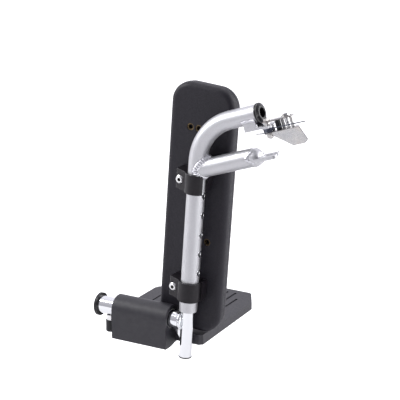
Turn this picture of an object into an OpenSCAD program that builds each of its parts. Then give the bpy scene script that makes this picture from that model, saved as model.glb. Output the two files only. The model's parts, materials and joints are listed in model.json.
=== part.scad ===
// Swing-away wheelchair legrest hanger with a padded side panel, a telescoping
// extension tube and a moulded footplate that turns on a cross stub.
// Millimetres. +Z is up, +X points to the rear of the chair, +Y points under the foot.
// The origin is the centre of the rounded end of the lower fork's slot.

/* [Hanger tube] */
// Outside diameter of the hanger, arm and stub tubes
tube_od = 22.2; // [20:0.1:25]
// Wall thickness of the hanger and arm tubes
tube_wall = 2; // [1.5:0.1:2.5]
// Lean of the hanger tube towards the rear, degrees
tube_lean = 4.45; // [3:0.05:6]
// Rise of both arms towards the rear, degrees
arm_rise = 18.9; // [15:0.1:22]
// Height along the tube, from the stub axis, of the tube's open lower end
tube_foot = 15.4; // [13:0.1:18]
// Height along the tube where its axis meets the upper arm's axis
upper_arm_at = 250.2; // [245:0.1:256]
// Height along the tube where its axis meets the lower arm's axis
lower_arm_at = 197.1; // [194:0.1:200]
// Centreline radius of the bend
bend_r = 65; // [60:1:70]
// Length of the upper arm from the axis crossing to its open end
upper_arm_len = 82; // [80:0.5:84]
// Length of the lower arm from the axis crossing to its closed end
lower_arm_len = 83; // [81:0.5:85]

/* [Height adjustment] */
// Outside diameter of the extension tube
ext_od = 15.9; // [15.5:0.1:16.2]
// Wall thickness of the extension tube
ext_wall = 2; // [1.5:0.1:2.5]
// Height along the tube of the extension's lower end
ext_foot = -45.4; // [-48:0.1:-42]
// Height along the tube of the extension's top end
ext_top = 155; // [152:0.5:157]
// Distance between adjustment holes
hole_pitch = 24.8; // [24:0.1:25.4]
// Height along the tube of the lowest adjustment hole
hole_first = 66.9; // [65:0.1:69]
// Number of adjustment holes
hole_count = 5; // [4:1:5]
// Diameter of an adjustment hole
hole_d = 7.2; // [7:0.1:8]

/* [Footplate] */
// Length of the exposed and covered stub, from the extension's axis to its cap
stub_len = 124; // [120:0.5:126]
// Left end of the pivot housing, along X from the extension's axis
housing_x0 = -99.3; // [-101:0.1:-98]
// Right end of the pivot housing
housing_x1 = -21.4; // [-23:0.1:-20]
// Radius of the housing's rounded top
housing_r = 17.3; // [17:0.1:18]
// Distance of the housing's flat back, which clears the panel, behind the stub axis
housing_back = 14.2; // [14:0.1:14.5]
// Depth of the housing's flat base below the stub axis
housing_drop = 35.95; // [35:0.05:37]
// Depth of the plate's top face below the stub axis
plate_top_drop = 20.1; // [19.9:0.1:21]
// Depth of the plate's underside below the stub axis at its near edge
plate_base_drop = 33.1; // [32:0.1:34]
// Near edge of the plate, along Y from the stub axis
plate_y0 = 11; // [10:0.5:12]
// Far edge of the plate
plate_y1 = 171.6; // [168:0.1:175]
// Rear edge of the plate, along X
plate_x1 = 13.7; // [12:0.1:15]
// Toe edge of the plate, along X
plate_x0 = -124.3; // [-126:0.1:-122]
// Distance between anti-slip grooves
groove_pitch = 11.7; // [11:0.1:12]
// Width of a groove
groove_w = 2.6; // [2:0.1:3]

/* [Side panel] */
// Width of the padded panel
panel_w = 85.5; // [84:0.5:88]
// Height of the padded panel
panel_h = 313.1; // [308:0.1:314]
// Thickness of the padded panel
panel_t = 22.4; // [20:0.1:24]
// Corner radius of the panel
panel_r = 26; // [22:1:30]
// Face of the panel that the clamps bolt to, along Y
panel_y = 15.6; // [15.4:0.1:16.5]
// Left edge of the panel across the tube
panel_left = -50.9; // [-52:0.1:-49]
// Bottom edge of the panel along the tube
panel_foot = -17.2; // [-17.4:0.1:-16]

/* [Clamps] */
// Height of each tube clamp
clamp_h = 24.5; // [22:0.5:26]
// Height along the tube of the middle of the upper clamp
clamp_hi = 181; // [179:0.5:182]
// Height along the tube of the middle of the lower clamp
clamp_lo = 42; // [40:0.5:43]
// Distance from the tube's axis to the clamp screw, across the tube
clamp_screw_x = 21.4; // [21:0.1:22]
// Distance from the tube's axis to the end of a clamp's ear
ear_reach = 27.4; // [27:0.1:29]

/* [Fork and latch] */
// Thickness of the fork plate
fork_t = 4; // [3:0.5:4.5]
// Distance of the fork plate's mid plane below the lower arm's axis
fork_drop = 3; // [2:0.5:4]
// Width across the fork's two prongs
fork_w = 28; // [26:0.5:30]
// Width of the fork's open slot
slot_w = 10.4; // [10:0.1:11]
// Distance along the lower arm to the slot's rounded end
slot_at = 97; // [95:0.5:99]
// Distance along the upper arm to the latch lever's pivot
pivot_s = 96; // [95:0.5:97]
// Distance of the pivot from the hanger's mid plane, towards the outside
pivot_y = 11; // [10:0.5:12]

/* [Hidden] */
$fn = 48;
tube_r = tube_od / 2;
bore_r = tube_r - tube_wall;
ext_r = ext_od / 2;
ext_bore_r = ext_r - ext_wall;
fit = 0.05;
nudge = 0.02;
// Hairline between the straight and the bend, so that each builds as an exact solid
seam = 0.004;
far = 400;
bend_angle = 90 - tube_lean - arm_rise;
bend_tangent = bend_r * tan(bend_angle / 2);
slot_r = slot_w / 2;
fork_tail = 14;
button_at = hole_first + 3 * hole_pitch;
button_r = 3.2;
bush_r = 12.6;
fork_origin = [
    lower_arm_at * sin(tube_lean) + slot_at * cos(arm_rise) + fork_drop * sin(arm_rise),
    0,
    lower_arm_at * cos(tube_lean) + slot_at * sin(arm_rise) - fork_drop * cos(arm_rise)];
// Spare and used threaded inserts of the panel, [across the tube, along the tube]
used_inserts = [[-clamp_screw_x, clamp_hi], [-clamp_screw_x, clamp_lo]];
spare_inserts = [[-22, 242], [-10.7, 242], [11, 102], [9.7, 49]];
insert_r = 4.6;
insert_recess = 1.2;
insert_len = 10;
screw_r = 3;
lever_n = -24.5;
lever_t = 1.6;
catch_n = -11;
catch_t = 1.6;
bracket_n = -17.5;
bracket_t = 3;
paddle_t = 1.6;
wire_r = 0.6;
spring_r = 6.4;
// Posts and bolt of the catch, [along the arm, across]
post_spots = [[112.4, -4], [124.6, -5]];
catch_bolt_spot = [118.6, -5];
spacer_spot = [108.3, -8.6];

// Moves the stub-axis frame to the part's own origin
module place() { translate(-fork_origin) children(); }

// Frame of the hanger tube: Z runs up the tube, X across it
module tube_frame() { place() rotate([0, tube_lean, 0]) children(); }

// Frame of an arm: X runs out along the arm, Z is square to it
module arm_frame(at) {
    place()
        translate([at * sin(tube_lean), 0, at * cos(tube_lean)])
            rotate([0, -arm_rise, 0])
                children();
}

module rounded_slab(w, h, r) {
    translate([r, 0]) square([w - 2 * r, h]);
    translate([0, r]) square([w, h - 2 * r]);
    for (x = [r, w - r], y = [r, h - r])
        translate([x, y]) circle(r);
}

module tube_section() {
    difference() {
        circle(tube_r);
        circle(bore_r);
    }
}

module adjustment_holes() {
    for (i = [0 : hole_count - 1])
        translate([0, 0, hole_first + i * hole_pitch])
            rotate([0, 90, 0])
                cylinder(d = hole_d, h = tube_od);
}

// One bent tube: a drilled straight, the bend and the upper arm, end to end
module hanger_tube() {
    color("gainsboro")
        tube_frame() {
            difference() {
                translate([0, 0, tube_foot])
                    linear_extrude(upper_arm_at - bend_tangent - tube_foot - seam) tube_section();
                adjustment_holes();
            }
            translate([bend_r, 0, upper_arm_at - bend_tangent])
                rotate([90, 0, 0])
                    rotate([0, 0, 180 - bend_angle])
                        rotate_extrude(angle = bend_angle)
                            translate([bend_r, 0])
                                tube_section();
            translate([0, 0, upper_arm_at])
                rotate([0, bend_angle, 0])
                    translate([0, 0, bend_tangent])
                        linear_extrude(upper_arm_len - bend_tangent) tube_section();
        }
}

module cross_arm_tube() {
    wall_end = lower_arm_len - 2;
    color("gainsboro")
        difference() {
            arm_frame(lower_arm_at)
                difference() {
                    rotate([0, 90, 0]) cylinder(r = tube_r, h = lower_arm_len);
                    rotate([0, 90, 0]) cylinder(r = bore_r, h = wall_end);
                    translate([wall_end - 1, -fork_tail / 2 - nudge, -fork_drop - fork_t / 2 - nudge])
                        cube([5, fork_tail + 2 * nudge, fork_t + 2 * nudge]);
                }
            tube_frame() cylinder(r = tube_r, h = far, center = false);
        }
}

module fork_prong(y, tip) {
    w = (fork_w - slot_w) / 2;
    translate([slot_at, y - w / 2]) square([tip - w / 2 - slot_at, w]);
    translate([tip - w / 2, y]) circle(w / 2);
}

module lower_fork() {
    prong_y = (fork_w + slot_w) / 4;
    neck = lower_arm_len + 0.2;
    color("silver")
        arm_frame(lower_arm_at)
            translate([0, 0, -fork_drop - fork_t / 2])
                linear_extrude(fork_t)
                    difference() {
                        union() {
                            translate([lower_arm_len - 12, -fork_tail / 2]) square([14, fork_tail]);
                            translate([neck, -fork_w / 2]) square([slot_at - neck, fork_w]);
                            fork_prong(-prong_y, slot_at + 19);
                            fork_prong(prong_y, slot_at + 13);
                        }
                        translate([slot_at, 0]) circle(slot_r);
                        translate([slot_at, -slot_r]) square([30, slot_w]);
                        for (side = [-1, 1])
                            translate([neck, side * (fork_w / 2 + 1)]) circle(4);
                    }
}

module upper_end_cap() {
    color("#26262a")
        arm_frame(upper_arm_at)
            translate([upper_arm_len, 0, 0])
                rotate([0, 90, 0])
                    difference() {
                        union() {
                            translate([0, 0, nudge]) cylinder(r = 12.2, h = 3);
                            translate([0, 0, 3]) cylinder(r1 = 11.4, r2 = 8.2, h = 2.4);
                            translate([0, 0, -12]) cylinder(r = bore_r - nudge, h = 12.5);
                        }
                        translate([0, 0, -13]) cylinder(r = 5.7, h = 30);
                    }
}

module lower_bush() {
    color("#d4d5d8")
        tube_frame()
            difference() {
                translate([0, 0, tube_foot]) cylinder(r = bore_r - nudge, h = 30);
                translate([0, 0, tube_foot - 1]) cylinder(r = ext_r + fit, h = 40);
            }
}

// Plate outline of the welded latch bracket, [along the arm, across]
module bracket_outline() {
    polygon([
        [63, -10],
        [87, -10],
        [91, -pivot_y - 7],
        [pivot_s + 4, -pivot_y - 7],
        [pivot_s + 7, -pivot_y - 3],
        [pivot_s + 7, -2],
        [98, 10],
        [63, 10]]);
}

module latch_bracket() {
    color("silver")
        arm_frame(upper_arm_at)
            difference() {
                union() {
                    translate([0, 0, bracket_n]) linear_extrude(bracket_t) bracket_outline();
                    for (y = [-10, 7])
                        translate([63, y, bracket_n]) cube([17, 3, 14]);
                    translate([63, -10, bracket_n]) cube([3, 20, 14]);
                }
                rotate([0, 90, 0]) cylinder(r = tube_r, h = far);
                translate([pivot_s, -pivot_y, -30]) cylinder(r = 3.1, h = 20);
            }
}

module at_pivot(n) {
    arm_frame(upper_arm_at) translate([pivot_s, -pivot_y, n]) children();
}

module latch_pivot_bolt() {
    color("#c9c7bd")
        at_pivot(0) {
            translate([0, 0, catch_n + catch_t + 0.3]) cylinder(r = 4.2, h = 2.8, $fn = 6);
            translate([0, 0, -30.2]) cylinder(r = screw_r, h = 30.2 + catch_n + catch_t + 0.4);
        }
}

module latch_pivot_nut() {
    color("#b9b7ae")
        at_pivot(lever_n - 4.2)
            difference() {
                cylinder(r = 5.3, h = 4, $fn = 6);
                translate([0, 0, -1]) cylinder(r = screw_r + nudge, h = 7);
            }
}

function unit(v) = v / norm(v);

// A round wire swept along points that never run straight up
module wire(points, r, sides = 8) {
    last = len(points) - 1;
    rings = [for (i = [0 : last])
        let (along = unit(points[min(i + 1, last)] - points[max(i - 1, 0)]),
            across = unit(cross(along, [0, 0, 1])),
            up = cross(across, along))
        for (k = [0 : sides - 1])
            points[i] + r * cos(360 * k / sides) * across + r * sin(360 * k / sides) * up];
    walls = [for (i = [0 : last - 1], k = [0 : sides - 1])
        let (n = (k + 1) % sides, a = i * sides)
        [a + k, a + n, a + sides + n, a + sides + k]];
    ends = [[for (k = [sides - 1 : -1 : 0]) k], [for (k = [0 : sides - 1]) last * sides + k]];
    polyhedron(rings, concat(walls, ends));
}

// Torsion spring: a close-wound coil with two straight legs
module latch_spring() {
    turns = 3;
    steps = 16;
    rise = 2 * wire_r + 0.1;
    coil_low = lever_n + lever_t + 0.2 + wire_r;
    coil = [for (i = [0 : turns * steps])
        [spring_r * sin(360 * i / steps), -spring_r * cos(360 * i / steps), coil_low + rise * i / steps]];
    coil_top = coil_low + turns * rise;
    color("#9a9a96")
        at_pivot(0)
            wire(
                concat(
                    [[-15, -spring_r + 1, coil_low + 1.2], [-8, -spring_r + 0.3, coil_low + 0.2]],
                    coil,
                    [[10, -spring_r, coil_top], [52, -spring_r + 1, coil_top - 0.4]]),
                wire_r);
}

// Front half of a clamp seen along the tube: a curved strap and its flat ear
module strap_outline(end_angle) {
    ring_r = tube_r + 2.9;
    difference() {
        union() {
            intersection() {
                circle(ring_r);
                polygon([
                    [0, 0],
                    [30 * cos(end_angle), 30 * sin(end_angle)],
                    [30, -30],
                    [-30, -30],
                    [-30, 2.5],
                    [0, 2.5]]);
            }
            polygon([
                [-ear_reach, 2.5],
                [-ear_reach, -0.3],
                [0.8 - ear_reach, -0.9],
                [-12.6, -6.2],
                [-11.5, -4],
                [-11.5, 2.5]]);
        }
        circle(tube_r + nudge);
    }
}

// Rear half of a clamp seen along the tube, against the panel
module saddle_outline(reach) {
    difference() {
        translate([-ear_reach, 2.6]) square([ear_reach + reach, panel_y - 2.6]);
        circle(tube_r + nudge);
        translate([12, -1]) square([20, 5]);
    }
}

module clamp_band(mid) {
    translate([0, 0, mid - clamp_h / 2]) linear_extrude(clamp_h) children();
}

// Clearance for the clamp screw and the seat of its head
module screw_way(mid) {
    translate([-clamp_screw_x, -12, mid])
        rotate([-90, 0, 0]) {
            cylinder(r = 3.3, h = 40);
            cylinder(r = 6.2, h = 10.2);
        }
}

// Room for the lower arm, which leaves the tube just above the upper clamp
module arm_way() {
    arm_frame(lower_arm_at) rotate([0, 90, 0]) cylinder(r = tube_r + 0.3, h = 60);
}

module clamp_strap(mid, end_angle) {
    color("#2b2b2f")
        difference() {
            tube_frame()
                difference() {
                    clamp_band(mid) strap_outline(end_angle);
                    screw_way(mid);
                }
            arm_way();
        }
}

module upper_clamp_strap() { clamp_strap(clamp_hi, -28); }
module lower_clamp_strap() { clamp_strap(clamp_lo, 4); }

module upper_clamp_saddle() {
    color("#242427")
        difference() {
            tube_frame()
                difference() {
                    clamp_band(clamp_hi) saddle_outline(17);
                    screw_way(clamp_hi);
                    translate([10, 0, clamp_hi - clamp_h / 2])
                        rotate([0, 14, 0])
                            translate([0, 0, -10])
                                cube([30, 30, 60]);
                }
            arm_way();
        }
}

module lower_clamp_saddle() {
    color("#242427")
        tube_frame()
            difference() {
                clamp_band(clamp_lo) saddle_outline(15);
                screw_way(clamp_lo);
            }
}

module clamp_screws() {
    head_y = -1.8;
    color("#d9d9dc")
        tube_frame()
            for (spot = used_inserts)
                translate([spot[0], head_y, spot[1]])
                    rotate([-90, 0, 0])
                        difference() {
                            union() {
                                cylinder(r = screw_r, h = 26);
                                translate([0, 0, -3.3]) cylinder(r1 = 3.6, r2 = 5.25, h = 1.7);
                                translate([0, 0, -1.6 - nudge]) cylinder(r = 5.25, h = 1.6 + nudge);
                            }
                            translate([0, 0, -4]) cylinder(r = 2.3, h = 2.6, $fn = 6);
                        }
}

// The panel's outline raised along Y from one depth to another
module panel_layer(inset, y_from, y_to) {
    translate([panel_left + inset, y_to, panel_foot + inset])
        rotate([90, 0, 0])
            linear_extrude(y_to - y_from)
                rounded_slab(panel_w - 2 * inset, panel_h - 2 * inset, panel_r - inset);
}

module insert_holes(r, y_from, length) {
    for (spot = concat(used_inserts, spare_inserts))
        translate([spot[0], y_from, spot[1]])
            rotate([-90, 0, 0])
                cylinder(r = r, h = length);
}

board_y0 = panel_y + 4;
board_y1 = panel_y + 13;

module panel_pad() {
    color("#303034")
        tube_frame()
            difference() {
                panel_layer(0, panel_y, panel_y + panel_t);
                panel_layer(10, board_y0, board_y1);
                insert_holes(insert_r + nudge, panel_y - 1, 6);
            }
}

module panel_board() {
    color("#b08d57")
        tube_frame()
            difference() {
                panel_layer(10 + nudge, board_y0 + nudge, board_y1 - nudge);
                insert_holes(insert_r + nudge, panel_y - 1, insert_recess + insert_len + 1.2);
            }
}

module panel_inserts() {
    color("#b5924c")
        tube_frame()
            difference() {
                insert_holes(insert_r, panel_y + insert_recess, insert_len);
                insert_holes(screw_r + fit, panel_y - 1, insert_len + 4);
            }
}

module extension_tube() {
    color("#e4e6ea")
        tube_frame()
            difference() {
                translate([0, 0, ext_foot]) cylinder(r = ext_r, h = ext_top - ext_foot);
                translate([0, 0, ext_foot + 3]) cylinder(r = ext_bore_r, h = far);
                translate([0, 0, button_at]) rotate([0, 90, 0]) cylinder(r = button_r + fit, h = 20);
            }
}

module extension_glide() {
    color("#3a3a3e")
        tube_frame()
            translate([0, 0, ext_top - 8])
                difference() {
                    cylinder(r = bore_r - fit, h = 8);
                    translate([0, 0, -1]) cylinder(r = ext_r + nudge, h = 10);
                }
}

module stub_tube() {
    color("#e4e6ea")
        difference() {
            place()
                translate([-stub_len, 0, 0])
                    rotate([0, 90, 0])
                        difference() {
                            cylinder(r = tube_r, h = stub_len - 5.5);
                            translate([0, 0, -1]) cylinder(r = bore_r, h = stub_len - 14);
                        }
            tube_frame() translate([0, 0, -far / 2]) cylinder(r = ext_r, h = far);
        }
}

module stub_gusset() {
    color("#dfe1e5")
        difference() {
            place()
                translate([0, 2, 0])
                    rotate([90, 0, 0])
                        linear_extrude(4)
                            polygon([[-19, -8], [-4, -8], [-4, -24], [-9.5, -22.5]]);
            place() translate([-50, 0, 0]) rotate([0, 90, 0]) cylinder(r = tube_r, h = 60);
            tube_frame() translate([0, 0, -far / 2]) cylinder(r = ext_r, h = far);
        }
}

module stub_end_cap() {
    color("#222225")
        place()
            translate([-stub_len, 0, 0])
                rotate([0, -90, 0]) {
                    translate([0, 0, nudge]) cylinder(r = 14.5, h = 3.2);
                    translate([0, 0, 3.2]) cylinder(r1 = 14.5, r2 = 12.6, h = 1.4);
                    translate([0, 0, -10]) cylinder(r = bore_r - nudge, h = 10.5);
                }
}

// Stop pin under the stub, between the housing and the end cap
stop_x = -111.1;
stop_drop = 22.2;
sleeve_len = 15;

module stop_screw() {
    color("#c8c8cc")
        place()
            translate([stop_x, 0, -tube_r - stop_drop]) {
                cylinder(r = screw_r, h = stop_drop - 1);
                translate([0, 0, sleeve_len + 0.3]) cylinder(r = 5.4, h = stop_drop - sleeve_len - 0.5);
            }
}

module stop_sleeve() {
    color("#1d1d20")
        place()
            translate([stop_x, 0, -tube_r - stop_drop + 0.2])
                difference() {
                    cylinder(r = 6.5, h = sleeve_len);
                    translate([0, 0, -1]) cylinder(r = screw_r + nudge, h = 20);
                }
}

module snap_button() {
    color("#d8dade")
        tube_frame()
            translate([0, 0, button_at])
                rotate([0, 90, 0]) {
                    translate([0, 0, 0.9]) cylinder(r = 4, h = 3);
                    translate([0, 0, 3.8]) cylinder(r = button_r, h = 6.2);
                    translate([0, 0, 10]) cylinder(r1 = button_r, r2 = button_r - 0.7, h = 0.7);
                }
}

// Folded leaf spring that pushes the snap button outwards
module snap_spring() {
    leaf = 0.6;
    color("#8f9296")
        tube_frame()
            translate([0, 2, button_at])
                rotate([90, 0, 0])
                    linear_extrude(4)
                        polygon([[0.6, 5], [0.6, -5], [-4.9, -24], [-5, 6],
                            [-5 + leaf, 6], [-4.9 + leaf, -19.4], [0.6 - leaf, -4.8], [0.6 - leaf, 5]]);
}

// Plan outline of the footplate, [along X, along Y]
module plate_outline() {
    polygon([
        [housing_x0, plate_y0],
        [plate_x1 - 4, plate_y0],
        [plate_x1, plate_y0 + 4],
        [plate_x1, plate_y1 - 29.6],
        [plate_x1 - 15.6, plate_y1 - 2],
        [plate_x1 - 19, plate_y1],
        [-75, plate_y1],
        [plate_x0 + 3, 135],
        [plate_x0, 129],
        [plate_x0, 58],
        [housing_x0, 24]]);
}

// Far end of the groove at a given X: it stops short of the slanted corners
function groove_end(x) = min(plate_y1 - 8, 162 - 1.75 * max(0, x + 19.5), 168 + 0.745 * (x + 81));

module grooves() {
    for (i = [0 : 8]) {
        x = -9 - i * groove_pitch;
        translate([x - groove_w / 2, 27, -plate_top_drop - 1.6])
            cube([groove_w, groove_end(x) - 27, 5]);
    }
}

// Cross-section of the pivot housing, [along Y, along Z]
module housing_outline() {
    intersection() {
        union() {
            circle(housing_r);
            translate([-housing_r, -plate_base_drop]) square([2 * housing_r, plate_base_drop]);
        }
        translate([-housing_r, -plate_base_drop])
            square([housing_r + housing_back, plate_base_drop + housing_r]);
    }
    polygon([
        [-housing_r, -plate_base_drop + 1],
        [-housing_r, -housing_drop + 1],
        [-housing_r + 1, -housing_drop],
        [-6, -housing_drop],
        [-1, -housing_drop + 0.6],
        [6, -plate_base_drop - 0.4],
        [11, -plate_base_drop],
        [11, -plate_base_drop + 1]]);
}

module footplate() {
    housing_len = housing_x1 - housing_x0;
    color("#38383c")
        place()
            difference() {
                union() {
                    translate([0, 0, -plate_base_drop])
                        linear_extrude(plate_base_drop - plate_top_drop)
                            plate_outline();
                    translate([housing_x0, 0, 0])
                        rotate([90, 0, 90])
                            linear_extrude(housing_len)
                                housing_outline();
                }
                // the underside rises towards the far edge
                translate([-150, 20, -plate_base_drop])
                    rotate([1.6, 0, 0])
                        translate([0, 0, -20])
                            cube([200, 180, 20]);
                grooves();
                translate([housing_x0 - 1, 0, 0])
                    rotate([0, 90, 0])
                        cylinder(r = bush_r + nudge, h = housing_len + 2);
            }
}

module pivot_bushes() {
    color("#c9c9c4")
        place()
            for (x = [housing_x0 + 8, housing_x1 - 18])
                translate([x, 0, 0])
                    rotate([0, 90, 0])
                        difference() {
                            cylinder(r = bush_r, h = 16);
                            translate([0, 0, -1]) cylinder(r = tube_r + fit, h = 20);
                        }
}

// Plan outline of the lever plate, [along the arm, across]
module lever_outline() {
    translate([pivot_s, -pivot_y]) circle(6.4);
    polygon([
        [pivot_s - 2, -15.4],
        [137, -15.4],
        [137, -12],
        [127, 2],
        [108, 2],
        [pivot_s, -pivot_y + 6.4]]);
}

// Outline of the lever's turned-down thumb blade, [along the arm, square to it]
module paddle_outline() {
    polygon([
        [pivot_s + 5, lever_n + lever_t],
        [137, lever_n + lever_t],
        [143.4, -38.6],
        [142.6, -40.6],
        [139, -42.9],
        [123.4, -42.9],
        [pivot_s + 5, -26.9]]);
}

module latch_lever() {
    color("#d5d2ca")
        arm_frame(upper_arm_at)
            difference() {
                union() {
                    translate([0, 0, lever_n]) linear_extrude(lever_t) lever_outline();
                    translate([0, -15.4, 0])
                        rotate([90, 0, 0])
                            translate([0, 0, -paddle_t])
                                linear_extrude(paddle_t)
                                    paddle_outline();
                }
                translate([pivot_s, -pivot_y, lever_n - 1]) cylinder(r = screw_r + fit, h = 5);
                for (spot = post_spots)
                    translate([spot[0], spot[1], lever_n - 1]) cylinder(r = 1.5, h = 5);
                translate([catch_bolt_spot[0], catch_bolt_spot[1], lever_n - 1])
                    cylinder(r = 2.5 + nudge, h = 5);
            }
}

module catch_plate() {
    color("#c4c3bc")
        arm_frame(upper_arm_at)
            translate([0, 0, catch_n])
                linear_extrude(catch_t)
                    difference() {
                        union() {
                            translate([pivot_s, -pivot_y]) circle(6);
                            polygon([
                                [pivot_s - 1, -pivot_y - 5.9],
                                [126, -10],
                                [128.5, -5],
                                [126, 0],
                                [108, 0],
                                [pivot_s, -pivot_y + 6]]);
                        }
                        translate([pivot_s, -pivot_y]) circle(screw_r + fit);
                        for (spot = post_spots)
                            translate(spot) circle(1.5);
                        translate(catch_bolt_spot) circle(2.5 + nudge);
                    }
}

// Shouldered rivets that tie the lever and the catch plate together
module catch_posts() {
    low = lever_n + lever_t;
    color("#dcdcdc")
        arm_frame(upper_arm_at)
            for (spot = post_spots)
                translate([spot[0], spot[1], 0]) {
                    translate([0, 0, low + nudge]) cylinder(r = 2.2, h = catch_n - low - 2 * nudge);
                    translate([0, 0, lever_n])
                        cylinder(r = 1.5 - nudge, h = catch_n + catch_t - lever_n + 0.3);
                    translate([0, 0, catch_n + catch_t + nudge]) cylinder(r1 = 1.9, r2 = 1.3, h = 1.2);
                }
}

// Black sleeve that holds the lever and the catch plate apart
module catch_spacer() {
    low = lever_n + lever_t + nudge;
    color("#2a2a2e")
        arm_frame(upper_arm_at)
            translate([spacer_spot[0], spacer_spot[1], low])
                difference() {
                    cylinder(r = 3.3, h = catch_n - nudge - low);
                    translate([0, 0, -1]) cylinder(r = 1.6, h = 20);
                }
}

module catch_bolt() {
    color("#d0d0d0")
        arm_frame(upper_arm_at)
            translate([catch_bolt_spot[0], catch_bolt_spot[1], 0]) {
                translate([0, 0, catch_n + catch_t + nudge])
                    rotate([0, 0, 30])
                        cylinder(r = 4.2, h = 3.2, $fn = 6);
                translate([0, 0, lever_n - 4]) cylinder(r = 2.5, h = catch_n + catch_t - lever_n + 4.1);
            }
}

module catch_nut() {
    color("#bdbdb8")
        arm_frame(upper_arm_at)
            translate([catch_bolt_spot[0], catch_bolt_spot[1], lever_n - 3.4])
                difference() {
                    cylinder(r = 4.4, h = 3.4 - nudge, $fn = 6);
                    translate([0, 0, -1]) cylinder(r = 2.5 + nudge, h = 6);
                }
}

hanger_tube();
cross_arm_tube();
lower_fork();
upper_end_cap();
lower_bush();
latch_bracket();
latch_pivot_bolt();
latch_pivot_nut();
latch_spring();
upper_clamp_strap();
upper_clamp_saddle();
lower_clamp_strap();
lower_clamp_saddle();
clamp_screws();
panel_pad();
panel_board();
panel_inserts();
extension_tube();
extension_glide();
stub_tube();
stub_gusset();
stub_end_cap();
stop_screw();
stop_sleeve();
snap_spring();
snap_button();
footplate();
pivot_bushes();
latch_lever();
catch_plate();
catch_posts();
catch_spacer();
catch_bolt();
catch_nut();
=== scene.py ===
import json
import math

import bmesh
import bpy
from mathutils import Matrix, Vector


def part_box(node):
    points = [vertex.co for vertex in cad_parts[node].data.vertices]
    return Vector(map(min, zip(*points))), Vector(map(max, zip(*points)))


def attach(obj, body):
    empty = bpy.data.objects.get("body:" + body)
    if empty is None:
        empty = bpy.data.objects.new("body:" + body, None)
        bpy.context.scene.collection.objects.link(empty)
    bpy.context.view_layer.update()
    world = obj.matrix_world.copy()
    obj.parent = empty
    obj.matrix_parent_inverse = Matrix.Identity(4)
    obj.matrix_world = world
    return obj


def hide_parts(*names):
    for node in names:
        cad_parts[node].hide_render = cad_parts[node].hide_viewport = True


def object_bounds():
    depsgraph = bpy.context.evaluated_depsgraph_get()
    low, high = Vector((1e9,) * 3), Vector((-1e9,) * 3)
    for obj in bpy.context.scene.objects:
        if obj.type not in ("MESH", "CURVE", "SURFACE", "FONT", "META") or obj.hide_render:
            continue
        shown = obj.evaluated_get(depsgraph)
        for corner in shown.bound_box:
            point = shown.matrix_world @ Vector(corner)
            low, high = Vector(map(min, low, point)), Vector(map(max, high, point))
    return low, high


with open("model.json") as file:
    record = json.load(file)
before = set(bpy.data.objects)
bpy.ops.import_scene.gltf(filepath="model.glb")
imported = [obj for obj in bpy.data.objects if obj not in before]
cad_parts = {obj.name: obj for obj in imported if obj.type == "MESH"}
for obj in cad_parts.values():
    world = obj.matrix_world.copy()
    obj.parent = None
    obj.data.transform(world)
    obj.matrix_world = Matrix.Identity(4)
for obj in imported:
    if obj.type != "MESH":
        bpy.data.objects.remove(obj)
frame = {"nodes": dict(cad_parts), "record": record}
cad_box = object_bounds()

MM = 0.001
CAMERA_AZIMUTH, CAMERA_ELEVATION = math.radians(29.86), math.radians(17.72)
BACKDROP = Vector((-math.sin(CAMERA_AZIMUTH), math.cos(CAMERA_AZIMUTH), 0))
SIDEWAYS = Vector((math.cos(CAMERA_AZIMUTH), math.sin(CAMERA_AZIMUTH), 0))

# ---------------------------------------------------------------------------
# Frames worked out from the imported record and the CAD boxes
# ---------------------------------------------------------------------------

record = frame["record"]
joints = {j["name"]: j for j in record["behaviour"]["joints"]}
mounts = {m["name"]: m for m in record["mounts"]}
nodes = frame["nodes"]

SIDE = Vector((0, 1, 0))
TUBE_UP = -Vector(joints["extension_slide"]["axis"]).normalized()
TUBE_ACROSS = SIDE.cross(TUBE_UP).normalized()
ARM_UP = -Vector(mounts["fork_slot"]["axis"]).normalized()
ARM_OUT = SIDE.cross(ARM_UP).normalized()
STUB_Z = joints["footplate_tilt"]["pos_m"][2]
TUBE_R = 11.1 * MM
EXTENSION_R = 7.95 * MM
CLAMP_SCREWS = [(-21.4, 181), (-21.4, 42)]
ADJUSTMENT_HOLES = [66.9 + 24.8 * i for i in range(5)]


def frame_at(origin, along, up):
    """Matrix whose X runs along, Y is the row's Y and Z runs up."""
    m = Matrix.Identity(4)
    m.col[0][:3], m.col[1][:3], m.col[2][:3], m.col[3][:3] = along, SIDE, up, origin
    return m


def stub_crossing():
    """Where the extension's axis meets the stub's axis."""
    low = Vector(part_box("extension_tube")[0])
    foot = Vector((low.x + EXTENSION_R * TUBE_UP.z, 0, low.z + EXTENSION_R * TUBE_UP.x))
    return foot + TUBE_UP * ((STUB_Z - foot.z) / TUBE_UP.z)


CROSSING = stub_crossing()
TUBE = frame_at(CROSSING, TUBE_ACROSS, TUBE_UP)
UPPER_ARM_AT, LOWER_ARM_AT = 250.2 * MM, 197.1 * MM
UPPER_ARM = frame_at(CROSSING + TUBE_UP * UPPER_ARM_AT, ARM_OUT, ARM_UP)
LOWER_ARM = frame_at(CROSSING + TUBE_UP * LOWER_ARM_AT, ARM_OUT, ARM_UP)
STUB = frame_at(CROSSING, Vector((1, 0, 0)), Vector((0, 0, 1)))


# ---------------------------------------------------------------------------
# Small node-tree helpers
# ---------------------------------------------------------------------------

def colour_ramp(tree, value, stops):
    """Colour ramp over value; each stop is (position, colour)."""
    node = tree.nodes.new("ShaderNodeValToRGB")
    elements = node.color_ramp.elements
    while len(elements) < len(stops):
        elements.new(0.5)
    for element, (position, colour) in zip(elements, stops):
        element.position = position
        element.color = (*colour, 1)
    tree.links.new(value, node.inputs["Fac"])
    return node.outputs["Color"]


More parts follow.
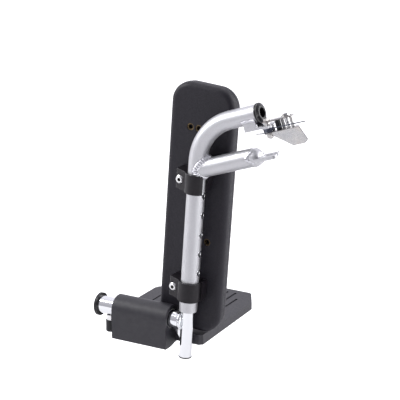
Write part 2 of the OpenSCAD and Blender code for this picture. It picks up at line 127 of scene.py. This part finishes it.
class Shader:
    """A material under construction: one Principled shader and its textures."""

    def __init__(self, name, colour, metallic=0.0, roughness=0.5, **sockets):
        self.material = bpy.data.materials.new(name)
        self.material.use_nodes = True
        self.tree = self.material.node_tree
        self.bsdf = self.tree.nodes["Principled BSDF"]
        self.bsdf.inputs["Base Color"].default_value = (*colour, 1)
        self.bsdf.inputs["Metallic"].default_value = metallic
        self.bsdf.inputs["Roughness"].default_value = roughness
        for key, value in sockets.items():
            self.bsdf.inputs[key.replace("_", " ")].default_value = value
        self.place = self.tree.nodes.new("ShaderNodeTexCoord").outputs["Object"]
        self.last_normal = None

    def link(self, a, b):
        self.tree.links.new(a, b)

    def stretched(self, scale):
        """Object coordinates, scaled per axis."""
        mapping = self.tree.nodes.new("ShaderNodeMapping")
        mapping.inputs["Scale"].default_value = scale
        self.link(self.place, mapping.inputs["Vector"])
        return mapping.outputs["Vector"]

    def noise(self, size, detail=3.0, vector=None):
        """Noise whose lumps are about size metres."""
        node = self.tree.nodes.new("ShaderNodeTexNoise")
        node.inputs["Scale"].default_value = 1 / size
        node.inputs["Detail"].default_value = detail
        self.link(vector or self.place, node.inputs["Vector"])
        return node.outputs["Fac"]

    def cells(self, size):
        """Voronoi distance with cells about size metres."""
        node = self.tree.nodes.new("ShaderNodeTexVoronoi")
        node.inputs["Scale"].default_value = 1 / size
        self.link(self.place, node.inputs["Vector"])
        return node.outputs["Distance"]

    def span(self, value, low, high, to_low, to_high):
        """value, mapped from low..high to to_low..to_high."""
        node = self.tree.nodes.new("ShaderNodeMapRange")
        limits = {"From Min": low, "From Max": high, "To Min": to_low, "To Max": to_high}
        for key, number in limits.items():
            node.inputs[key].default_value = number
        self.link(value, node.inputs["Value"])
        return node.outputs["Result"]

    def ramp(self, value, *stops):
        """Colour ramp; each stop is (position, colour)."""
        return colour_ramp(self.tree, value, stops)

    def colour(self, output):
        self.link(output, self.bsdf.inputs["Base Color"])

    def roughness(self, output):
        self.link(output, self.bsdf.inputs["Roughness"])

    def bump(self, height, depth):
        """Adds a bump of the given depth in metres on top of earlier ones."""
        node = self.tree.nodes.new("ShaderNodeBump")
        node.inputs["Distance"].default_value = depth
        node.inputs["Strength"].default_value = 1.0
        self.link(height, node.inputs["Height"])
        if self.last_normal:
            self.link(self.last_normal, node.inputs["Normal"])
        self.last_normal = node.outputs["Normal"]
        self.link(self.last_normal, self.bsdf.inputs["Normal"])


# ---------------------------------------------------------------------------
# Materials
# ---------------------------------------------------------------------------

def silver_paint():
    s = Shader("silver_paint", (0.5, 0.5, 0.54), metallic=0.88, roughness=0.38, Coat_Weight=0.25,
               Coat_Roughness=0.2)
    flake = s.noise(0.35 * MM, detail=2)
    s.colour(s.ramp(flake, (0.35, (0.5, 0.5, 0.52)), (0.65, (0.63, 0.63, 0.65))))
    s.roughness(s.span(s.noise(9 * MM), 0.3, 0.7, 0.4, 0.5))
    s.bump(s.noise(1.6 * MM, detail=1), 0.014 * MM)
    return s.material


def weld_metal():
    s = Shader("weld_metal", (0.6, 0.6, 0.63), metallic=0.92, roughness=0.3, Coat_Weight=0.3)
    s.colour(s.ramp(s.noise(1.2 * MM), (0.3, (0.58, 0.58, 0.61)), (0.7, (0.76, 0.76, 0.8))))
    s.bump(s.noise(0.9 * MM), 0.05 * MM)
    return s.material


def chrome():
    s = Shader("chrome_tube", (0.86, 0.87, 0.89), metallic=1.0, roughness=0.06)
    s.roughness(s.span(s.noise(14 * MM), 0.35, 0.7, 0.045, 0.1))
    s.bump(s.noise(6 * MM, detail=1), 0.01 * MM)
    return s.material


def pad_skin():
    s = Shader("pad_skin", (0.016, 0.015, 0.02), roughness=0.48, Specular_IOR_Level=0.31)
    grain = s.cells(0.85 * MM)
    s.colour(s.ramp(s.noise(0.9 * MM), (0.3, (0.010, 0.009, 0.0135)), (0.72, (0.021, 0.019, 0.0265))))
    s.roughness(s.span(s.noise(5 * MM), 0.3, 0.7, 0.44, 0.56))
    s.bump(s.noise(28 * MM, detail=2), 0.25 * MM)
    s.bump(grain, 0.13 * MM)
    s.bump(s.noise(2.4 * MM, detail=2), 0.14 * MM)
    return s.material


def plate_plastic():
    s = Shader("plate_plastic", (0.036, 0.036, 0.039), roughness=0.46, Specular_IOR_Level=0.5)
    s.colour(s.ramp(s.noise(7 * MM), (0.3, (0.017, 0.016, 0.022)), (0.7, (0.025, 0.0235, 0.03))))
    s.roughness(s.span(s.noise(2.5 * MM), 0.3, 0.7, 0.4, 0.52))
    s.bump(s.noise(0.4 * MM, detail=1), 0.03 * MM)
    return s.material


def clamp_nylon():
    s = Shader("black_clamp", (0.02, 0.02, 0.022), roughness=0.36, Specular_IOR_Level=0.3)
    s.colour(s.ramp(s.noise(4 * MM), (0.3, (0.0075, 0.006, 0.0085)), (0.7, (0.0115, 0.0095, 0.0125))))
    s.roughness(s.span(s.noise(1.5 * MM), 0.3, 0.7, 0.3, 0.42))
    s.bump(s.noise(0.3 * MM, detail=1), 0.015 * MM)
    return s.material


def clamp_edge_painted_highlight():
    """The moulded edge of a clamp, painted lighter: a painted highlight where the edge would catch light.
    """
    s = Shader("clamp_edge_painted_highlight", (0.09, 0.09, 0.1), roughness=0.25, Specular_IOR_Level=0.6)
    s.colour(s.ramp(s.noise(2 * MM), (0.3, (0.16, 0.16, 0.17)), (0.7, (0.34, 0.34, 0.36))))
    return s.material


def cap_plastic():
    s = Shader("black_cap", (0.011, 0.011, 0.013), roughness=0.33, Specular_IOR_Level=0.34)
    s.roughness(s.span(s.noise(3 * MM), 0.3, 0.7, 0.27, 0.4))
    s.bump(s.noise(0.5 * MM, detail=1), 0.012 * MM)
    return s.material


def grey_bush():
    s = Shader("grey_bush", (0.55, 0.55, 0.53), roughness=0.42, Subsurface_Weight=0.05)
    s.roughness(s.span(s.noise(2 * MM), 0.3, 0.7, 0.36, 0.5))
    return s.material


def zinc_plate():
    s = Shader("zinc_plate", (0.62, 0.6, 0.59), metallic=0.95, roughness=0.24)
    tint = s.noise(14 * MM, detail=2)
    s.colour(s.ramp(tint, (0.3, (0.56, 0.56, 0.57)), (0.55, (0.62, 0.61, 0.6)), (0.78, (0.62, 0.58, 0.54))))
    s.roughness(s.span(s.noise(4 * MM), 0.3, 0.7, 0.24, 0.34))
    s.bump(s.noise(3 * MM, detail=1), 0.006 * MM)
    return s.material


def sheared_edge_painted_shade():
    """The cut edge of plated sheet, painted dark: a painted shade along the edge."""
    s = Shader("sheared_edge_painted_shade", (0.1, 0.1, 0.13), metallic=0.9, roughness=0.4)
    s.colour(s.ramp(s.noise(2.5 * MM), (0.3, (0.05, 0.055, 0.08)), (0.7, (0.16, 0.12, 0.1))))
    return s.material


def spring_steel():
    s = Shader("spring_steel", (0.08, 0.085, 0.11), metallic=1.0, roughness=0.26)
    s.roughness(s.span(s.noise(1 * MM), 0.3, 0.7, 0.22, 0.4))
    return s.material


def steel_screw():
    """Polished steel; near the clamp screws' axes it is painted near-black, a painted shade for their deep
    hexagon sockets.
    """
    s = Shader("steel_screw", (0.78, 0.78, 0.79), metallic=1.0, roughness=0.14)
    s.roughness(s.span(s.noise(1.2 * MM), 0.3, 0.7, 0.1, 0.2))
    nearest = None
    for across, up in CLAMP_SCREWS:
        axis = TUBE @ Vector((across * MM, 0, up * MM))
        flat = s.tree.nodes.new("ShaderNodeVectorMath")
        flat.operation = "MULTIPLY"
        flat.inputs[1].default_value = (1, 0, 1)
        s.link(s.place, flat.inputs[0])
        reach = s.tree.nodes.new("ShaderNodeVectorMath")
        reach.operation = "DISTANCE"
        reach.inputs[1].default_value = (axis.x, 0, axis.z)
        s.link(flat.outputs["Vector"], reach.inputs[0])
        if nearest is None:
            nearest = reach.outputs["Value"]
        else:
            least = s.tree.nodes.new("ShaderNodeMath")
            least.operation = "MINIMUM"
            s.link(nearest, least.inputs[0])
            s.link(reach.outputs["Value"], least.inputs[1])
            nearest = least.outputs["Value"]
    # Painted shade: near-black within 2 mm of a clamp screw's axis, fading to steel by 2.35 mm.
    outside = s.span(nearest, 2.0 * MM, 2.35 * MM, 0, 1)
    s.colour(s.ramp(outside, (0.0, (0.03, 0.028, 0.026)), (1.0, (0.8, 0.8, 0.8))))
    return s.material


def brass():
    # Painted shade: the brass is coloured far darker than bare brass, for the shade inside the recessed
    # insert wells.
    s = Shader("brass_insert", (0.2, 0.14, 0.07), metallic=0.9, roughness=0.45)
    s.colour(s.ramp(s.noise(1.5 * MM), (0.3, (0.1, 0.075, 0.045)), (0.7, (0.22, 0.16, 0.085))))
    s.bump(s.noise(0.5 * MM), 0.03 * MM)
    return s.material


def plywood():
    s = Shader("plywood", (0.5, 0.36, 0.22), roughness=0.7)
    layers = s.noise(2 * MM, vector=s.stretched((0.05, 1, 0.05)))
    s.colour(s.ramp(layers, (0.35, (0.36, 0.24, 0.14)), (0.65, (0.6, 0.45, 0.28))))
    return s.material


MATERIALS = {
    "silver_paint": silver_paint(), "chrome_tube": chrome(), "pad_skin": pad_skin(),
    "plate_plastic": plate_plastic(), "black_clamp": clamp_nylon(), "black_cap": cap_plastic(),
    "grey_bush": grey_bush(), "zinc_plate": zinc_plate(), "spring_steel": spring_steel(),
    "steel_screw": steel_screw(), "brass_insert": brass(), "plywood": plywood()}
WELD = weld_metal()
CLAMP_EDGE_PAINTED_HIGHLIGHT, SHEARED_EDGE_PAINTED_SHADE = clamp_edge_painted_highlight(), sheared_edge_painted_shade()


# ---------------------------------------------------------------------------
# CAD nodes: material by slot, and eased edges where the real part has them
# ---------------------------------------------------------------------------

EASED = {
    "footplate": 1.1, "upper_clamp_strap": 0.6, "lower_clamp_strap": 0.6, "upper_clamp_saddle": 0.6,
    "lower_clamp_saddle": 0.6, "upper_end_cap": 0.7, "stop_sleeve": 0.5,
    "lower_fork": 1.6, "latch_bracket": 0.5, "latch_lever": 0.45, "catch_plate": 0.45,
    "cross_arm_tube": 0.8, "extension_tube": 0.7, "clamp_screws": 0.25,
    "catch_bolt": 0.3, "latch_pivot_bolt": 0.3, "latch_pivot_nut": 0.3, "catch_nut": 0.3,
    "stub_end_cap": 0.8}
EDGE_MATERIAL = {
    # Clamp strap bevels take the painted edge highlight; the sheet parts' bevels take the painted edge
    # shade.
    "upper_clamp_strap": CLAMP_EDGE_PAINTED_HIGHLIGHT, "lower_clamp_strap": CLAMP_EDGE_PAINTED_HIGHLIGHT,
    "latch_lever": SHEARED_EDGE_PAINTED_SHADE, "catch_plate": SHEARED_EDGE_PAINTED_SHADE}


def ease_edges(obj, width, edge_slot):
    """Rounds the sharp edges of a CAD node with modifiers."""
    weld = obj.modifiers.new("weld", "WELD")
    weld.merge_threshold = 0.001 * MM
    bevel = obj.modifiers.new("ease", "BEVEL")
    bevel.width = width * MM
    bevel.segments = 3
    bevel.limit_method = "ANGLE"
    bevel.angle_limit = math.radians(28)
    bevel.harden_normals = False
    bevel.use_clamp_overlap = True
    # The bevel faces take the edge slot: a painted highlight or a painted shade, where one is listed.
    bevel.material = edge_slot
    normals = obj.modifiers.new("normals", "WEIGHTED_NORMAL")
    normals.keep_sharp = True


def dress_cad_nodes():
    """Gives every CAD node its material and, where listed, eased edges."""
    slots = {part["node"]: part["material_slot"] for part in record["subparts"]}
    for name, obj in nodes.items():
        obj.data.materials.clear()
        obj.data.materials.append(MATERIALS[slots[name]])
        if name in EDGE_MATERIAL:
            obj.data.materials.append(EDGE_MATERIAL[name])
        if name in EASED:
            ease_edges(obj, EASED[name], 1 if name in EDGE_MATERIAL else -1)


# ---------------------------------------------------------------------------
# Mesh helpers
# ---------------------------------------------------------------------------

def mesh_object(name, verts, faces, material, body):
    """A smooth mesh that rides on a body."""
    mesh = bpy.data.meshes.new(name)
    mesh.from_pydata([tuple(v) for v in verts], [], faces)
    mesh.update()
    for polygon in mesh.polygons:
        polygon.use_smooth = True
    mesh.materials.append(material)
    obj = bpy.data.objects.new(name, mesh)
    bpy.context.collection.objects.link(obj)
    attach(obj, body)
    return obj


def loft(rings, close_first=True, close_last=True):
    """Faces that join equal closed rings of points."""
    count = len(rings[0])
    verts = [p for ring in rings for p in ring]
    faces = []
    for i in range(len(rings) - 1):
        for k in range(count):
            n = (k + 1) % count
            faces.append((i * count + k, i * count + n, (i + 1) * count + n, (i + 1) * count + k))
    if close_first:
        faces.append(tuple(range(count - 1, -1, -1)))
    if close_last:
        faces.append(tuple((len(rings) - 1) * count + k for k in range(count)))
    return verts, faces


# ---------------------------------------------------------------------------
# Weld beads
# ---------------------------------------------------------------------------

def bead(name, points, outward, width, body, closed=True, scale_len=2.2 * MM, material=None, spread=None):
    """A row of overlapping scales along points; outward(i) points off the metal, spread(i) widens it."""
    sides = 10
    rings = []
    run = 0.0
    total = len(points)
    for i, p in enumerate(points):
        before = points[i - 1] if closed or i else points[i]
        after = points[(i + 1) % total] if closed or i < total - 1 else points[i]
        along = (after - before).normalized()
        off = outward(i).normalized()
        across = along.cross(off).normalized()
        off = across.cross(along).normalized()
        if i:
            run += (points[i] - points[i - 1]).length
        phase = (run / scale_len) % 1.0
        swell = 0.6 + 0.65 * (1 - phase if phase > 0.15 else 0.85 * phase / 0.15)
        wobble = 1 + 0.06 * math.sin(7.3 * run / scale_len + 1.3)
        ring = []
        wide = width * (spread(i) if spread else 1.0)
        for k in range(sides):
            a = 2 * math.pi * k / sides
            ring.append(p + across * (math.cos(a) * wide * wobble)
                        + off * (math.sin(a) * wide * 0.5 * swell))
        rings.append(ring)
    if closed:
        rings.append(rings[0])
    verts, faces = loft(rings, not closed, not closed)
    obj = mesh_object(name, verts, faces, material or WELD, body)
    if closed:
        join = bmesh.new()
        join.from_mesh(obj.data)
        bmesh.ops.remove_doubles(join, verts=join.verts, dist=1e-7)
        join.to_mesh(obj.data)
        join.free()
    return obj


def arm_weld():
    """Round the saddle where the lower arm meets the hanger tube."""
    turn_in = ARM_OUT.dot(TUBE_ACROSS)
    tip_in = ARM_UP.dot(TUBE_ACROSS)
    soft_tip, lift, extra_width, count = 3.4 * MM, 1.5 * MM, 0.75, 420
    points, outs, spreads = [], [], []
    for i in range(count):
        phi = 2 * math.pi * i / count
        rise = math.sin(phi)
        blunt = math.sqrt((TUBE_R * rise) ** 2 + soft_tip ** 2)
        reach = (blunt - tip_in * TUBE_R * rise) / turn_in
        off = SIDE * math.cos(phi) + ARM_UP * rise
        p = LOWER_ARM.translation + ARM_OUT * reach + off * TUBE_R
        crotch = max(0.0, rise) ** 2
        points.append(p + (off * 0.2 + TUBE_ACROSS * 0.2) * MM + (ARM_UP + TUBE_ACROSS) * crotch * lift)
        outs.append(off + TUBE_ACROSS * 0.5)
        spreads.append(1 + extra_width * crotch)
    obj = bead("arm_weld", points, lambda i: outs[i], 3.5 * MM, "hanger", scale_len=3.0 * MM,
               spread=lambda i: spreads[i])


def fork_root():
    """Weld metal that closes the lower arm's end down onto the fork's neck."""
    start, swell_at, tip = 72.0, 80.5, 91.4
    sections = []  # along, half width, middle, half height, all in mm
    for i in range(5):
        t = i / 4
        sections.append((start + (swell_at - start) * t, 9.6 + 1.7 * t, -1.2 + 0.9 * t, 8.4 + 2.7 * t))
    for i in range(1, 11):
        t = math.sin(math.radians(9 * i))
        fall = math.cos(math.radians(9 * i))
        along = swell_at + (tip - swell_at) * t
        sections.append((along, 7.4 + 3.9 * fall, -3.1 + 2.8 * fall ** 0.8, 2.2 + 8.9 * fall))
    around = 40
    rings = []
    for index, (along, half_y, middle, half_n) in enumerate(sections):
        ring = []
        for k in range(around):
            a = 2 * math.pi * k / around
            c, n = math.cos(a), math.sin(a)
            lump = 1 + 0.022 * math.sin(5 * a + 0.7 * index) + 0.014 * math.sin(11 * a - 0.9 * index)
            y = math.copysign(abs(c) ** 0.9, c) * half_y * lump
            z = middle + math.copysign(abs(n) ** 0.9, n) * half_n * lump
            ring.append(LOWER_ARM @ (Vector((along, y, z)) * MM))
        rings.append(ring)
    verts, faces = loft(rings)
    obj = mesh_object("fork_root", verts, faces, MATERIALS["silver_paint"], "hanger")


def arm_point(along, angle):
    """A point just under the lower arm's skin; angle 0 is the clamp side, 90 is its top."""
    a = math.radians(angle)
    r = TUBE_R - 0.2 * MM
    return LOWER_ARM @ Vector((along * MM, -r * math.cos(a), r * math.sin(a)))


def surface_bead(name, start, end):
    """A bead over the lower arm's skin between two (along in mm, angle) points."""
    count = 60
    points = []
    for i in range(count + 1):
        t = i / count
        points.append(arm_point(start[0] + (end[0] - start[0]) * t, start[1] + (end[1] - start[1]) * t))
    middle = points[count // 2] - LOWER_ARM.translation
    out = middle - ARM_OUT * middle.dot(ARM_OUT)
    obj = bead(name, points, lambda i: out, 2.3 * MM, "hanger", closed=False, scale_len=3.2 * MM)


def fork_welds():
    """Runs that fix the fork's tail where it shows through the arm's flanks."""
    start, tip, start_angle = 74.5, 83.5, 8
    for flank in ("near", "far"):
        for leg, rise in {"upper": 46, "lower": -34}.items():
            angles = (start_angle, rise) if flank == "near" else (180 - start_angle, 180 - rise)
            surface_bead(f"fork_weld_{flank}_{leg}", (start, angles[0]), (tip, angles[1]))


def bracket_welds():
    """Two fillets along the latch bracket's sides, on the upper arm's flanks."""
    half_bracket, start, step, count = 9.9 * MM, 62 * MM, 0.4 * MM, 47
    for name, side in {"bracket_weld_out": -1, "bracket_weld_in": 1}.items():
        y = side * half_bracket
        n = -math.sqrt(TUBE_R ** 2 - y ** 2)
        points = []
        for i in range(count):
            points.append(UPPER_ARM @ Vector((start + i * step, y + side * 0.4 * MM, n - 0.8 * MM)))
        out = SIDE * side - ARM_UP * 0.7
        obj = bead(name, points, lambda i: out, 2.0 * MM, "hanger", closed=False, scale_len=2.0 * MM)


def stub_weld():
    """Round the coped end of the stub on the extension tube, chromed over."""
    along, ring_r, count = -6.6 * MM, TUBE_R * 0.93, 110
    points, outs = [], []
    for i in range(count):
        a = 2 * math.pi * i / count
        points.append(STUB @ Vector((along, ring_r * math.cos(a), ring_r * math.sin(a))))
        outs.append(Vector((0.5, math.cos(a), math.sin(a))))
    obj = bead("stub_weld", points, lambda i: outs[i], 2.3 * MM, "extension", scale_len=2.6 * MM,
               material=MATERIALS["chrome_tube"])


def hole_rims():
    """The bare, rolled rim of each adjustment hole in the hanger tube."""
    around, rim_r = 40, 3.75 * MM
    for index, up in enumerate(ADJUSTMENT_HOLES):
        points = []
        for k in range(around):
            a = 2 * math.pi * k / around
            y = rim_r * math.cos(a)
            out = math.sqrt(TUBE_R ** 2 - y ** 2)
            points.append(TUBE @ Vector((out, y, up * MM + rim_r * math.sin(a))))
        obj = bead(f"hole_rim_{index + 1}", points, lambda i: TUBE_ACROSS, 0.55 * MM, "hanger",
                   scale_len=50 * MM, material=MATERIALS["chrome_tube"])


def extension_plug():
    """A shallow black plug under the extension's lower end."""
    profile = ((6.0, 0.0), (7.9, 0.0), (8.3, -0.2), (8.35, -1.0), (8.1, -1.6), (7.2, -2.0), (4.0, -2.1))
    foot = Vector((0, 0, -45.4 * MM))
    rings = []
    around = 48
    turns = [2 * math.pi * k / around for k in range(around)]
    for r, z in profile:
        ring = [Vector((r * math.cos(a), r * math.sin(a), z + 0.1)) for a in turns]
        rings.append([TUBE @ (foot + p * MM) for p in ring])
    verts, faces = loft(rings)
    obj = mesh_object("extension_plug", verts, faces, MATERIALS["black_cap"], "extension")


# ---------------------------------------------------------------------------
# The padded panel
# ---------------------------------------------------------------------------

PANEL_W, PANEL_H, PANEL_T = 85.5 * MM, 313.1 * MM, 22.4 * MM
PANEL_LEFT, PANEL_FOOT = -50.9 * MM, -17.2 * MM
PANEL_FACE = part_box("panel_pad")[0][1]
PANEL_R = 26 * MM
FRONT_ROUND, BACK_ROUND = 6.2 * MM, 5.0 * MM
WELL_R = 4.62 * MM
INSERTS = CLAMP_SCREWS + [(-22, 242), (-10.7, 242), (11, 102), (9.7, 49)]


def rounded_outline(inset, corner_steps=12, edge_step=6 * MM):
    """Closed outline of the panel, drawn in by inset, in the tube's frame."""
    w, h = PANEL_W - 2 * inset, PANEL_H - 2 * inset
    r = max(PANEL_R - inset, 0.6 * MM)
    x0, z0 = PANEL_LEFT + inset, PANEL_FOOT + inset
    corners = [(x0 + w - r, z0 + h - r, 0), (x0 + r, z0 + h - r, 90),
               (x0 + r, z0 + r, 180), (x0 + w - r, z0 + r, 270)]
    points = []
    for index, (cx, cz, start) in enumerate(corners):
        for k in range(corner_steps + 1):
            a = math.radians(start + 90 * k / corner_steps)
            points.append((cx + r * math.cos(a), cz + r * math.sin(a)))
        nx, nz, _ = corners[(index + 1) % 4]
        a = math.radians(start + 90)
        end = (nx + r * math.cos(a), nz + r * math.sin(a))
        full = (PANEL_H if index in (1, 3) else PANEL_W) - 2 * PANEL_R
        pieces = max(2, round(full / edge_step))
        px, pz = points[-1]
        for k in range(1, pieces):
            points.append((px + (end[0] - px) * k / pieces, pz + (end[1] - pz) * k / pieces))
    return points


def panel_profile():
    """(inset, depth) pairs from the clamp face, over the edge, to the crowned back."""
    shoulder, crown_edge, crown_flat = 0.9 * MM, 6, 25.3
    profile = [(25.3 * MM, 0.25 * MM), (18 * MM, 0.22 * MM), (12.5 * MM, 0.15 * MM), (8.6 * MM, 0.05 * MM)]
    for k in range(8):
        a = math.radians(90 * k / 7)
        profile.append((FRONT_ROUND * (1 - math.sin(a)), FRONT_ROUND * (1 - math.cos(a))))
    profile += [(0.0, 9.6 * MM), (0.05 * MM, 11.6 * MM), (0.45 * MM, 12.2 * MM), (0.95 * MM, 12.5 * MM),
                (0.55 * MM, 12.9 * MM), (0.5 * MM, 13.6 * MM), (0.7 * MM, 15.2 * MM)]
    for k in range(8):
        a = math.radians(90 * k / 7)
        profile.append((shoulder + BACK_ROUND * (1 - math.cos(a)),
                        PANEL_T - BACK_ROUND - shoulder + BACK_ROUND * math.sin(a)))
    for inset in (10, 14, 19, crown_flat):
        share = (inset - crown_edge) / (crown_flat - crown_edge)
        profile.append((inset * MM, PANEL_T - shoulder * (1 - math.sin(share * math.pi / 2))))
    return profile


def panel_cushion():
    """The upholstered panel, lofted from its outline and profile."""
    rings = []
    for inset, depth in panel_profile():
        ring = []
        for across, up in rounded_outline(inset):
            ring.append(TUBE @ Vector((across, PANEL_FACE + depth, up)))
        rings.append(ring)
    verts, faces = loft(rings)
    cushion = mesh_object("panel_cushion", verts, faces, MATERIALS["pad_skin"], "hanger")
    cut_insert_wells(cushion)
    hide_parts("panel_pad")


def cut_insert_wells(cushion):
    """Bores the wells of the threaded inserts through the clamp face."""
    cutter_mesh = bpy.data.meshes.new("wells")
    cutter = bmesh.new()
    for across, up in INSERTS:
        middle = Matrix.Translation((across * MM, PANEL_FACE + 1.5 * MM, up * MM))
        where = TUBE @ middle @ Matrix.Rotation(math.pi / 2, 4, "X")
        bmesh.ops.create_cone(cutter, cap_ends=True, segments=40, radius1=WELL_R, radius2=WELL_R,
                              depth=8 * MM, matrix=where)
    cutter.to_mesh(cutter_mesh)
    cutter.free()
    tool = bpy.data.objects.new("wells", cutter_mesh)
    bpy.context.collection.objects.link(tool)
    cut = cushion.modifiers.new("wells", "BOOLEAN")
    cut.object = tool
    cut.operation = "DIFFERENCE"
    cut.solver = "EXACT"
    bpy.context.view_layer.update()
    depsgraph = bpy.context.evaluated_depsgraph_get()
    result = bpy.data.meshes.new_from_object(cushion.evaluated_get(depsgraph))
    cushion.modifiers.clear()
    cushion.data = result
    bpy.data.objects.remove(tool)
    smooth_by_angle(cushion, 40)


def smooth_by_angle(obj, degrees):
    """Smooth shading that keeps edges sharper than the angle."""
    mesh = obj.data
    shape = bmesh.new()
    shape.from_mesh(mesh)
    for face in shape.faces:
        face.smooth = True
    for edge in shape.edges:
        edge.smooth = edge.is_boundary or edge.calc_face_angle(0) < math.radians(degrees)
    shape.to_mesh(mesh)
    shape.free()


# ---------------------------------------------------------------------------
# Stage, light and camera
# ---------------------------------------------------------------------------

FLOOR_HALF, FLOOR_GAP, FLOOR_GLOW = 6.0, 2 * MM, 0.62
SKY_LEVELS = ((0.0, 0.22), (0.28, 0.5), (0.5, 0.8), (0.82, 1.0))
SKY_TINT = (0.99, 0.98, 1.06)


def studio_floor():
    """A pale floor, low enough for the extension at full travel."""
    travel = joints["extension_slide"]["range_m"][1]
    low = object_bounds()[0]
    floor_mesh = bpy.data.meshes.new("floor")
    size, z = FLOOR_HALF, low[2] - travel - FLOOR_GAP
    corners = [(-size, -size, z), (size, -size, z), (size, size, z), (-size, size, z)]
    floor_mesh.from_pydata(corners, [], [(0, 1, 2, 3)])
    floor = bpy.data.objects.new("floor", floor_mesh)
    bpy.context.collection.objects.link(floor)
    surface = Shader("pale_floor", (0.8, 0.8, 0.8), roughness=0.8)
    glow = surface.tree.nodes.new("ShaderNodeEmission")
    glow.inputs["Strength"].default_value = FLOOR_GLOW
    total = surface.tree.nodes.new("ShaderNodeAddShader")
    path = surface.tree.nodes.new("ShaderNodeLightPath")
    mix = surface.tree.nodes.new("ShaderNodeMixShader")
    surface.link(surface.bsdf.outputs["BSDF"], total.inputs[0])
    surface.link(glow.outputs["Emission"], total.inputs[1])
    surface.link(path.outputs["Is Camera Ray"], mix.inputs["Fac"])
    surface.link(surface.bsdf.outputs["BSDF"], mix.inputs[1])
    surface.link(total.outputs["Shader"], mix.inputs[2])
    surface.link(mix.outputs["Shader"], surface.tree.nodes["Material Output"].inputs["Surface"])
    floor.data.materials.append(surface.material)


def studio_surround():
    """Light all round, brightest behind the object; the camera itself sees plain white."""
    world = bpy.data.worlds.new("studio")
    bpy.context.scene.world = world
    world.use_nodes = True
    tree = world.node_tree
    surround = tree.nodes["Background"]
    coordinate = tree.nodes.new("ShaderNodeTexCoord")
    facing = tree.nodes.new("ShaderNodeVectorMath")
    facing.operation = "DOT_PRODUCT"
    facing.inputs[1].default_value = BACKDROP
    tree.links.new(coordinate.outputs["Generated"], facing.inputs[0])
    half = tree.nodes.new("ShaderNodeMapRange")
    half.inputs["From Min"].default_value = -1
    tree.links.new(facing.outputs["Value"], half.inputs["Value"])
    stops = [(position, tuple(level * tint for tint in SKY_TINT)) for position, level in SKY_LEVELS]
    tree.links.new(colour_ramp(tree, half.outputs["Result"], stops), surround.inputs["Color"])
    seen = tree.nodes.new("ShaderNodeBackground")
    seen.inputs["Color"].default_value = (1, 1, 1, 1)
    path = tree.nodes.new("ShaderNodeLightPath")
    mix = tree.nodes.new("ShaderNodeMixShader")
    tree.links.new(path.outputs["Is Camera Ray"], mix.inputs["Fac"])
    tree.links.new(surround.outputs["Background"], mix.inputs[1])
    tree.links.new(seen.outputs["Background"], mix.inputs[2])
    tree.links.new(mix.outputs["Shader"], tree.nodes["World Output"].inputs["Surface"])


def soft_box(name, place, target, size, watts):
    """A rectangular area light at place, turned to target."""
    light = bpy.data.lights.new(name, "AREA")
    light.shape = "RECTANGLE"
    light.size, light.size_y = size
    light.energy = watts
    obj = bpy.data.objects.new(name, light)
    obj.location = place
    obj.rotation_mode = "QUATERNION"
    obj.rotation_quaternion = (target - place).to_track_quat("-Z", "Y")
    bpy.context.collection.objects.link(obj)


def lights():
    middle = (Vector(cad_box[0]) + Vector(cad_box[1])) / 2
    up = Vector((0, 0, 1))
    soft_box("key", middle - SIDEWAYS * 1.7 + BACKDROP * 0.1 + up * 1.0, middle, (0.7, 1.4), 26)
    soft_box("top", middle + up * 1.9 + BACKDROP * 0.7, middle, (1.6, 1.0), 7)
    soft_box("edge", middle + SIDEWAYS * 1.7 + BACKDROP * 0.5 + up * 0.5, middle, (0.5, 1.4), 16)
    soft_box("strip", middle + SIDEWAYS * 1.3 - BACKDROP * 1.1 + up * 0.1, middle, (0.35, 1.1), 11)


def camera():
    """The camera fitted to the photo."""
    azimuth, elevation, roll = CAMERA_AZIMUTH, CAMERA_ELEVATION, math.radians(-0.27)
    distance, pixels_focal, frame_pixels, sensor = 2.0827, 1747.5, 400, 36
    target = CROSSING + Vector((18.75, 0, 159.21)) * MM
    level = Vector((math.sin(azimuth), -math.cos(azimuth), 0))
    back = level * math.cos(elevation) + Vector((0, 0, math.sin(elevation)))
    data = bpy.data.cameras.new("camera")
    data.sensor_width = sensor
    data.lens = pixels_focal / frame_pixels * sensor
    obj = bpy.data.objects.new("camera", data)
    obj.location = target + back * distance
    obj.rotation_mode = "QUATERNION"
    turn = (-back).to_track_quat("-Z", "Y").to_matrix() @ Matrix.Rotation(roll, 3, "Z")
    obj.rotation_quaternion = turn.to_quaternion()
    bpy.context.collection.objects.link(obj)
    bpy.context.scene.camera = obj


bpy.context.scene.view_settings.view_transform = "Standard"
dress_cad_nodes()
arm_weld()
fork_root()
fork_welds()
bracket_welds()
stub_weld()
hole_rims()
extension_plug()
panel_cushion()
studio_floor()
studio_surround()
lights()
camera()
